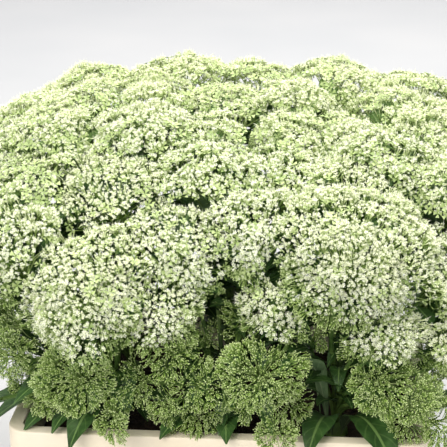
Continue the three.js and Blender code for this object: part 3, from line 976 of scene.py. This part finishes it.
def tube(points, along, radii, sides):
    """A closed round tube along a line: corners, faces, and how far round and along each corner is."""
    side = crosswise(along[:1])[0][0]
    corners, turns = [], []
    for point, direction, radius in zip(points, along, radii):
        side = unit(side - direction * (side @ direction))
        other = np.cross(direction, side)
        ring = around(sides, radius)
        corners.append(point + ring[:, :1] * side + ring[:, 1:2] * other)
        turns.append(np.abs(np.arange(sides) / sides * 2 - 1))
    reach = np.repeat(np.linspace(0, 1, len(points)), sides)
    return np.concatenate(corners), ring_faces(len(points), sides), np.concatenate(turns), reach


def ring_faces(rings, count):
    """The faces between rings of corners, with both ends closed."""
    faces = [
        (row + k, row + (k + 1) % count, row + count + (k + 1) % count, row + count + k)
        for row in range(0, (rings - 1) * count, count) for k in range(count)
    ]
    return faces + [tuple(range(count))[::-1], tuple((rings - 1) * count + k for k in range(count))]


def joined(parts):
    """Several meshes as one: corners, faces and any marks, in the order given."""
    corners, faces, marks, count = [], [], None, 0
    for part in parts:
        corners.append(part[0])
        faces += [tuple(i + count for i in face) for face in part[1]]
        count += len(part[0])
        marks = [*part[2:]] if marks is None else [np.concatenate([m, n]) for m, n in zip(marks, part[2:])]
    return np.concatenate(corners), faces, *marks


for plant in stem_nodes:
    parts = []
    for head in all_heads:
        if head.plant == plant:
            points, along = stem_line(head, STEM_RINGS)
            t = np.linspace(0, 1, STEM_RINGS)
            knots = 1 + JOINT_SWELL * np.maximum(0, np.cos(t * FULL_TURN * STEM_JOINTS)) ** 8
            radii = STEM_RADIUS * (STEM_WIDEST - STEM_TAPER * t) * knots
            parts.append(tube(points, along, radii, STEM_ROUND))
    crown_line = crowns[plant] + UP * np.array(CROWN_HEIGHTS)[:, None] * MM
    parts.append(tube(crown_line, np.tile(UP, (len(crown_line), 1)), np.array(CROWN_RADII) * MM, CROWN_ROUND))
    corners, faces, turns, reach = joined(parts)
    add_piece(
        plant.replace("stems", "stalks"), "stem", [plant], corners, faces, [stem_skin],
        marks={"around": turns, "reach": reach}, smooth=50,
    )

# Leaves

LEAF_SHEET = 0.5 * MM
LEAF_TEETH = 11
TOOTH_DEPTH = 0.13
LEAF_RIPPLE = 0.06
LEAF_LEEWAY = 4 * MM


def blade(spine, along, side, width, fold, rng, strips):
    """A toothed blade with a thin closed thickness. Marks: how far along, how far across, and which face."""
    rows, columns = len(spine), strips + 1
    t = np.linspace(0, 1, rows)
    outline = np.maximum(0.05, np.sin(math.pi * t ** 1.25) ** 0.9)
    teeth = 1 - TOOTH_DEPTH * np.abs((t * LEAF_TEETH) % 1 - 0.25) * (outline > 0.1)
    half = width / 2 * outline
    facing = unit(np.cross(along, side))
    across = np.linspace(-1, 1, columns)
    phase = rng.uniform(0, 6)
    corners = []
    for lift in (LEAF_SHEET / 2, -LEAF_SHEET / 2):
        for i in range(rows):
            reach = across * half[i]
            edge = np.where(np.abs(across) > 0.99, teeth[i], 1.0)
            wave = np.sin(t[i] * 17 + phase + across * 1.5)
            ripple = LEAF_RIPPLE * width * wave * across ** 2 * outline[i]
            rise = np.abs(reach) * fold + ripple + lift * (1 - 0.5 * across ** 2)
            corners.append(spine[i] + (reach * edge)[:, None] * side[i] + rise[:, None] * facing[i])
    size = rows * columns
    faces = []
    for row in range(rows - 1):
        for k in range(strips):
            a = row * columns + k
            faces.append((a, a + 1, a + columns + 1, a + columns))
            faces.append((size + a, size + a + columns, size + a + columns + 1, size + a + 1))
    rim = [k for k in range(columns)]
    rim += [row * columns + strips for row in range(1, rows)]
    rim += [(rows - 1) * columns + k for k in reversed(range(strips))]
    rim += [row * columns for row in reversed(range(1, rows - 1))]
    faces += [(a, size + a, size + b, b) for a, b in zip(rim, rim[1:] + rim[:1])]
    finish = np.array([0, 1] * ((rows - 1) * strips) + [0] * len(rim))
    reach = np.tile(np.repeat(t, columns), 2)
    return np.concatenate(corners), faces, reach, np.tile(across, 2 * rows), finish


def leaf_line(root, out, shape, steps):
    """Points and directions along a leaf's midrib, and its sideways directions. The shape gives how far out
    and up from the root each handle of the midrib is."""
    handles = [root + out * far + UP * high for far, high in shape]
    return *bezier(handles, steps), np.tile(np.cross(UP, unit(out * [1, 1, 0])), (steps, 1))


def within_reach(part):
    """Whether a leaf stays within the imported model's outline."""
    low, high = np.array(cad_box)
    return (part[0] > low - LEAF_LEEWAY).all() and (part[0] < high + LEAF_LEEWAY).all()


def add_leaves(name, nodes, parts, face=leaf_face):
    corners, faces, reach, across, finish = joined(parts)
    return add_piece(
        name, "leaf", nodes, corners, faces, [face, leaf_back], finish=finish,
        marks={"reach": reach, "across": across}, smooth=60,
    )


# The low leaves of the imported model: plant, heading in degrees, and in millimetres its reach, the heights of
# its arch and tip above its root, and its width
LOW_LEAVES = {
    "leaf_01": ("stems_front_left", 186, 62, 42, 96, 30),
    "leaf_02": ("stems_front_left", 258, 102, 52, 28, 32),
    "leaf_03": ("stems_front_left", 320, 70, 46, 50, 28),
    "leaf_04": ("stems_front_middle", 242, 96, 48, 34, 32),
    "leaf_05": ("stems_front_middle", 276, 92, 46, 36, 30),
    "leaf_06": ("stems_front_right", 258, 102, 48, 30, 32),
    "leaf_07": ("stems_front_right", 296, 118, 52, 14, 38),
}

# More leaves low at the front, in the same measures
FRONT_LEAVES = (
    ("stems_front_left", 232, 112, 84, 66, 30), ("stems_front_left", 214, 118, 60, 30, 32),
    ("stems_front_left", 286, 88, 74, 52, 28), ("stems_front_middle", 258, 82, 86, 70, 30),
    ("stems_front_middle", 300, 92, 72, 40, 30), ("stems_front_right", 240, 92, 108, 100, 26),
    ("stems_front_left", 230, 98, 52, 32, 38), ("stems_front_middle", 345, 84, 112, 94, 34),
    ("stems_front_right", 196, 62, 120, 104, 32), ("stems_front_left", 246, 92, 56, 36, 32),
)
LEAF_ROOT = 13.9
LEAF_SEAT_HEIGHT = 2.5
LOW_FOLD = 0.3
LOW_STRIPS = 4


def low_blade(plant, heading, reach, arch, tip, width, steps, rng):
    """A low leaf, which grows from its plant's crown."""
    turn = math.radians(heading)
    out = np.array([math.cos(turn), math.sin(turn), 0.0])
    root = crowns[plant] + (out * LEAF_ROOT + UP * LEAF_SEAT_HEIGHT) * MM
    shape = np.array([(0, 0), (reach * 0.15, arch * 0.9), (reach * 0.6, arch * 1.1), (reach, tip)]) * MM
    return blade(*leaf_line(root, out, shape, steps), width * MM, LOW_FOLD, rng, LOW_STRIPS)


for number, (node, measures) in enumerate(LOW_LEAVES.items()):
    rng = np.random.default_rng(300 + number)
    add_leaves(node.replace("leaf", "low_blade"), [node], [low_blade(*measures, 24, rng)])

# Smaller leaves up the stems, one after another round each stem, from a low share of its length to a high one
LOWEST_LEAF = 0.14
LEAF_STEP = 0.09
HIGHEST_LEAF = (0.45, 0.8)
LEAF_TURN = 2.4
OUTWARD_PULL = 0.8
UPPER_LENGTHS = 38, 66
UPPER_FOLD = 0.3
SMALL_STRIPS = 2
LINE_STEPS = 60

for number, plant in enumerate(stem_nodes):
    rng = np.random.default_rng(400 + number)
    parts = [low_blade(*measures, 14, rng) for measures in FRONT_LEAVES if measures[0] == plant]
    for head in main_heads:
        if head.plant != plant:
            continue
        points, _ = stem_line(head, LINE_STEPS)
        turn = rng.uniform(0, 6)
        for t in np.arange(LOWEST_LEAF, HIGHEST_LEAF[head.centre[1] > FRONT_ROW], LEAF_STEP):
            turn += LEAF_TURN
            out = np.array([math.cos(turn), math.sin(turn), 0.0])
            out = unit(out + OUTWARD_PULL * unit(crowns[plant] * [PLANT_SPREAD, PLANT_SPREAD, 0] + 1e-6))
            length = rng.uniform(*UPPER_LENGTHS) * (1.15 - 0.5 * t) * MM
            shape = np.array([(0, 0), (0.3, 0.3), (0.7, 0.5), (1, rng.uniform(-0.15, 0.5))]) * length
            line = leaf_line(points[int(t * LINE_STEPS)], out, shape, 8)
            part = blade(*line, length * rng.uniform(0.3, 0.4), UPPER_FOLD, rng, SMALL_STRIPS)
            if within_reach(part):
                parts.append(part)
    add_leaves(plant.replace("stems", "upper_blades"), [], parts)

# Leaves just under the flowers, which close the mass from inside. Each layer: how far apart the leaves are,
# how far below the flowers they end, and how far to the front they grow, in millimetres.
UNDER_LAYERS = (
    (26, 28, 45, -85), (32, 55, 85, -90), (28, 80, 110, -102), (30, 110, 150, -104), (38, 150, 200, -112),
)
TOP_LAYER_DEPTH = 60
TOP_LAYER_SHARE = 0.62
LOWER_LAYER_SHARE = 0.45
LEAST_LENGTH = 46 * MM
INNER_FOLD = 0.2
INNER_SHAPE = (0, 0), (0.3, 0.7), (0.7, 1.2), (1, 1)

stem_paths = [(head.plant, stem_line(head, 50)[0]) for head in all_heads]
path_points = np.concatenate([path for _, path in stem_paths])
path_plants = [plant for plant, path in stem_paths for _ in path]
rng = np.random.default_rng(600)
under = collections.defaultdict(list)
for spacing, least, most, foremost in UNDER_LAYERS:
    closed_enough = TOP_LAYER_SHARE if most < TOP_LAYER_DEPTH else LOWER_LAYER_SHARE
    for x in np.arange(-260, 250, spacing):
        for y in np.arange(-170, 245, spacing):
            place = np.array([x, y, 0.0]) * MM + rng.uniform(-0.4, 0.4, 3) * spacing * MM
            cell = cells_of(place[None])
            if closed_share[cell][0] < closed_enough or y < foremost:
                continue
            place[2] = canopy[cell][0] - rng.uniform(least, most) * MM
            near = np.linalg.norm(path_points - place + UP * 15 * MM, axis=1).argmin()
            root = path_points[near]
            level = (place - root) * [1, 1, 0]
            out = unit(level + rng.normal(size=3) * [1, 1, 0] * 4 * MM)
            length = max(LEAST_LENGTH, np.linalg.norm(level) + 20 * MM)
            line = leaf_line(root, out, np.array(INNER_SHAPE) * [length, place[2] - root[2]], 7)
            part = blade(*line, length * rng.uniform(0.36, 0.5), INNER_FOLD, rng, SMALL_STRIPS)
            if within_reach(part):
                under[path_plants[near]].append(part)
for plant, parts in under.items():
    # The back plants' inner leaves take the paler face: painted light, for the brighter light at the back of
    # the mass.
    face = painted_light_leaf if "back" in plant else leaf_face
    add_leaves(plant.replace("stems", "inner_blades"), [], parts, face)

# Tub and soil

TUB_LOW, TUB_HIGH = (np.array(corner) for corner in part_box("tub"))
TUB_LENGTH, TUB_WIDTH, TUB_HEIGHT = TUB_HIGH - TUB_LOW
WALL = 3 * MM
RIM_WIDTH = 14 * MM
SKIRT_DEPTH = 24 * MM
RIM_CORNER = 22 * MM
WALL_CORNER = RIM_CORNER - RIM_WIDTH
WALL_TAPER = 16 * MM
EDGE_ROUND = 1.5 * MM
CORNER_STEPS = 10


def rounded_ring(length, corner, z):
    """A rounded rectangle as wide as the tub is narrower than it is long."""
    width = length - TUB_LENGTH + TUB_WIDTH
    ring = []
    for quarter, (sx, sy) in enumerate(((1, 1), (-1, 1), (-1, -1), (1, -1))):
        for step in range(CORNER_STEPS + 1):
            angle = (quarter + step / CORNER_STEPS) * math.pi / 2
            ring.append((
                sx * (length / 2 - corner) + corner * math.cos(angle),
                sy * (width / 2 - corner) + corner * math.sin(angle), z,
            ))
    return np.array(ring)


def loft(rings):
    """A closed body through rings, capped at both ends."""
    return np.concatenate(rings), ring_faces(len(rings), len(rings[0]))


def inside_length(z):
    """The tub's inside length at a height."""
    return TUB_LENGTH - 2 * RIM_WIDTH - 2 * WALL_TAPER * (TUB_HEIGHT - z) / (TUB_HEIGHT - WALL)


def rounded_edge(length, corner, z, way_out, way_up, steps=4):
    """Rings round an edge of EDGE_ROUND radius that starts level with its face and ends on top."""
    for step in range(steps + 1):
        turn = step / steps * math.pi / 2
        out = (math.cos(turn) - 1) * EDGE_ROUND * way_out
        yield rounded_ring(length + 2 * out, corner + out, z + way_up * (math.sin(turn) - 1) * EDGE_ROUND)


foot = inside_length(WALL) + 2 * WALL
neck = inside_length(TUB_HEIGHT) + 2 * WALL
skirt_inside = TUB_LENGTH - 2 * WALL
skirt_foot = TUB_HEIGHT - SKIRT_DEPTH
rim_inside = inside_length(TUB_HEIGHT)
rings = [
    rounded_ring(foot - 2 * WALL, WALL_CORNER, 0),
    rounded_ring(foot - 0.6 * WALL, WALL_CORNER + 0.7 * WALL, 0.3 * WALL),
    rounded_ring(foot, WALL_CORNER + WALL, WALL),
    rounded_ring(neck, WALL_CORNER + WALL, TUB_HEIGHT - WALL),
    rounded_ring(skirt_inside, RIM_CORNER - WALL, TUB_HEIGHT - WALL),
    rounded_ring(skirt_inside, RIM_CORNER - WALL, skirt_foot + 0.5 * MM),
    rounded_ring(skirt_inside + 1 * MM, RIM_CORNER - WALL + 0.5 * MM, skirt_foot),
    rounded_ring(TUB_LENGTH - 1 * MM, RIM_CORNER - 0.5 * MM, skirt_foot),
    rounded_ring(TUB_LENGTH, RIM_CORNER, skirt_foot + 0.5 * MM),
    *rounded_edge(TUB_LENGTH, RIM_CORNER, TUB_HEIGHT, 1, 1),
    *reversed(list(rounded_edge(rim_inside, WALL_CORNER, TUB_HEIGHT, -1, 1))),
    rounded_ring(inside_length(WALL), WALL_CORNER, WALL),
]
add_piece("moulded_tub", "tub_plastic", ["tub"], *loft(rings), [tub_plastic], smooth=40)

# The soil: a closed body with a crumbly top that is highest in the middle
SOIL_TOP = float(crowns[stem_nodes[0]][2])
SOIL_RISE = 7 * MM
SOIL_EDGE = SOIL_TOP - SOIL_RISE
SOIL_SLOPE = 18 * MM
SOIL_GAP = 0.3 * MM
SOIL_STEPS = 26
SOIL_CORNER = WALL_CORNER - SOIL_GAP
CRUMBS = (2.2 * MM, 11 * MM), (1.4 * MM, 4 * MM)
CRUMBS_DOWN = 1.5 * MM

soil_length = inside_length(SOIL_EDGE) - 2 * SOIL_GAP
soil_rings = [
    rounded_ring(inside_length(WALL + SOIL_GAP) - 2 * SOIL_GAP, SOIL_CORNER, WALL + SOIL_GAP),
    rounded_ring(soil_length, SOIL_CORNER, SOIL_EDGE),
]
for step in range(1, SOIL_STEPS):
    shrink = step / SOIL_STEPS * (TUB_WIDTH / 2 - RIM_WIDTH - WALL_TAPER)
    rise = min(1.0, shrink / SOIL_SLOPE)
    ring = rounded_ring(soil_length - 2 * shrink, max(1 * MM, SOIL_CORNER), SOIL_EDGE + SOIL_RISE * rise)
    ring[:, 2] += sum(height * swell(ring, size) for height, size in CRUMBS) * rise - CRUMBS_DOWN
    soil_rings.append(ring)
add_piece("potting_soil_fill", "potting_soil", ["potting_soil"], *loft(soil_rings), [peat], smooth=30)

# Floor, light and camera

# Backdrop: flat wall paint, a pale grey with faint uneven patches.
grey_stops = (0.3, "#b2b2b3"), (0.7, "#b8b7b7")
backdrop, tree, shader, _, paint = mottled_finish("pale_painted_backdrop", 0.9, 400, 2.0, grey_stops)
tree.links.new(paint, shader.inputs["Base Color"])

FLOOR_FRONT, FLOOR_BACK = -5.0, 3.0
SWEEP_RADIUS = 1.2
BACKDROP_TOP = 4.0
BACKDROP_HALF = 5.0
sweep = [(FLOOR_FRONT, 0.0), (FLOOR_BACK, 0.0)]
sweep += [
    (FLOOR_BACK + SWEEP_RADIUS * math.sin(a), SWEEP_RADIUS - SWEEP_RADIUS * math.cos(a))
    for a in np.linspace(0.1, math.pi / 2, 14)
]
sweep += [(FLOOR_BACK + SWEEP_RADIUS, BACKDROP_TOP)]
corners = [(x, y, z) for y, z in sweep for x in (-BACKDROP_HALF, BACKDROP_HALF)]
faces = [(2 * i, 2 * i + 1, 2 * i + 3, 2 * i + 2) for i in range(len(sweep) - 1)]
mesh = bpy.data.meshes.new("studio_sweep")
mesh.from_pydata(corners, [], faces)
mesh.materials.append(backdrop)
mesh.shade_smooth()
floor = bpy.data.objects.new("studio_sweep", mesh)
bpy.context.scene.collection.objects.link(floor)


def add_light(name, place, target, size, power, tone):
    """A soft rectangular light that faces its target."""
    light = bpy.data.lights.new(name, "AREA")
    light.shape = "RECTANGLE"
    light.size, light.size_y = size
    light.energy = power
    light.color = srgb(tone)[:3]
    lamp = bpy.data.objects.new(name, light)
    lamp.location = place
    lamp.rotation_mode = "QUATERNION"
    lamp.rotation_quaternion = (Vector(target) - Vector(place)).to_track_quat("-Z", "Y")
    bpy.context.scene.collection.objects.link(lamp)


add_light("window_light", (-0.9, -1.9, 1.7), (0, 0, 0.3), (1.4, 1.0), 36, "#fffdf8")
add_light("backdrop_light", (0.1, 1.9, 2.4), (0.1, 2.7, 0), (3.0, 1.0), 67, "#ffffff")
add_light("ceiling_light", (0.3, 0.1, 2.3), (0, 0.1, 0.3), (2.0, 1.6), 60, "#fffef6")

world = bpy.data.worlds.new("studio_air")
world.use_nodes = True
air = world.node_tree.nodes["Background"]
air.inputs["Color"].default_value = srgb("#f2f5fa")
air.inputs["Strength"].default_value = 0.75
bpy.context.scene.world = world
bpy.context.scene.view_settings.view_transform = "Standard"

CAMERA_PLACE = (0.117, -1.382, 0.877)
CAMERA_DOWN = math.radians(20.5)
CAMERA_TURN = math.radians(-5.03)
CAMERA_ROLL = math.radians(-0.4)
FOCAL_PIXELS = 1500
IMAGE_PIXELS = 447
SENSOR = 36

forward = Vector((
    math.sin(CAMERA_TURN) * math.cos(CAMERA_DOWN), math.cos(CAMERA_TURN) * math.cos(CAMERA_DOWN),
    -math.sin(CAMERA_DOWN),
))
level = Vector((math.cos(CAMERA_TURN), -math.sin(CAMERA_TURN), 0))
right = math.cos(CAMERA_ROLL) * level + math.sin(CAMERA_ROLL) * level.cross(forward)
upward = right.cross(forward)
lens = bpy.data.cameras.new("front_camera")
lens.sensor_width = SENSOR
lens.lens = FOCAL_PIXELS * SENSOR / IMAGE_PIXELS
lens.clip_start, lens.clip_end = 0.05, 30
camera = bpy.data.objects.new("front_camera", lens)
camera.matrix_world = Matrix((
    (right.x, upward.x, -forward.x, CAMERA_PLACE[0]),
    (right.y, upward.y, -forward.y, CAMERA_PLACE[1]),
    (right.z, upward.z, -forward.z, CAMERA_PLACE[2]),
    (0, 0, 0, 1),
))
bpy.context.scene.collection.objects.link(camera)
bpy.context.scene.camera = camera
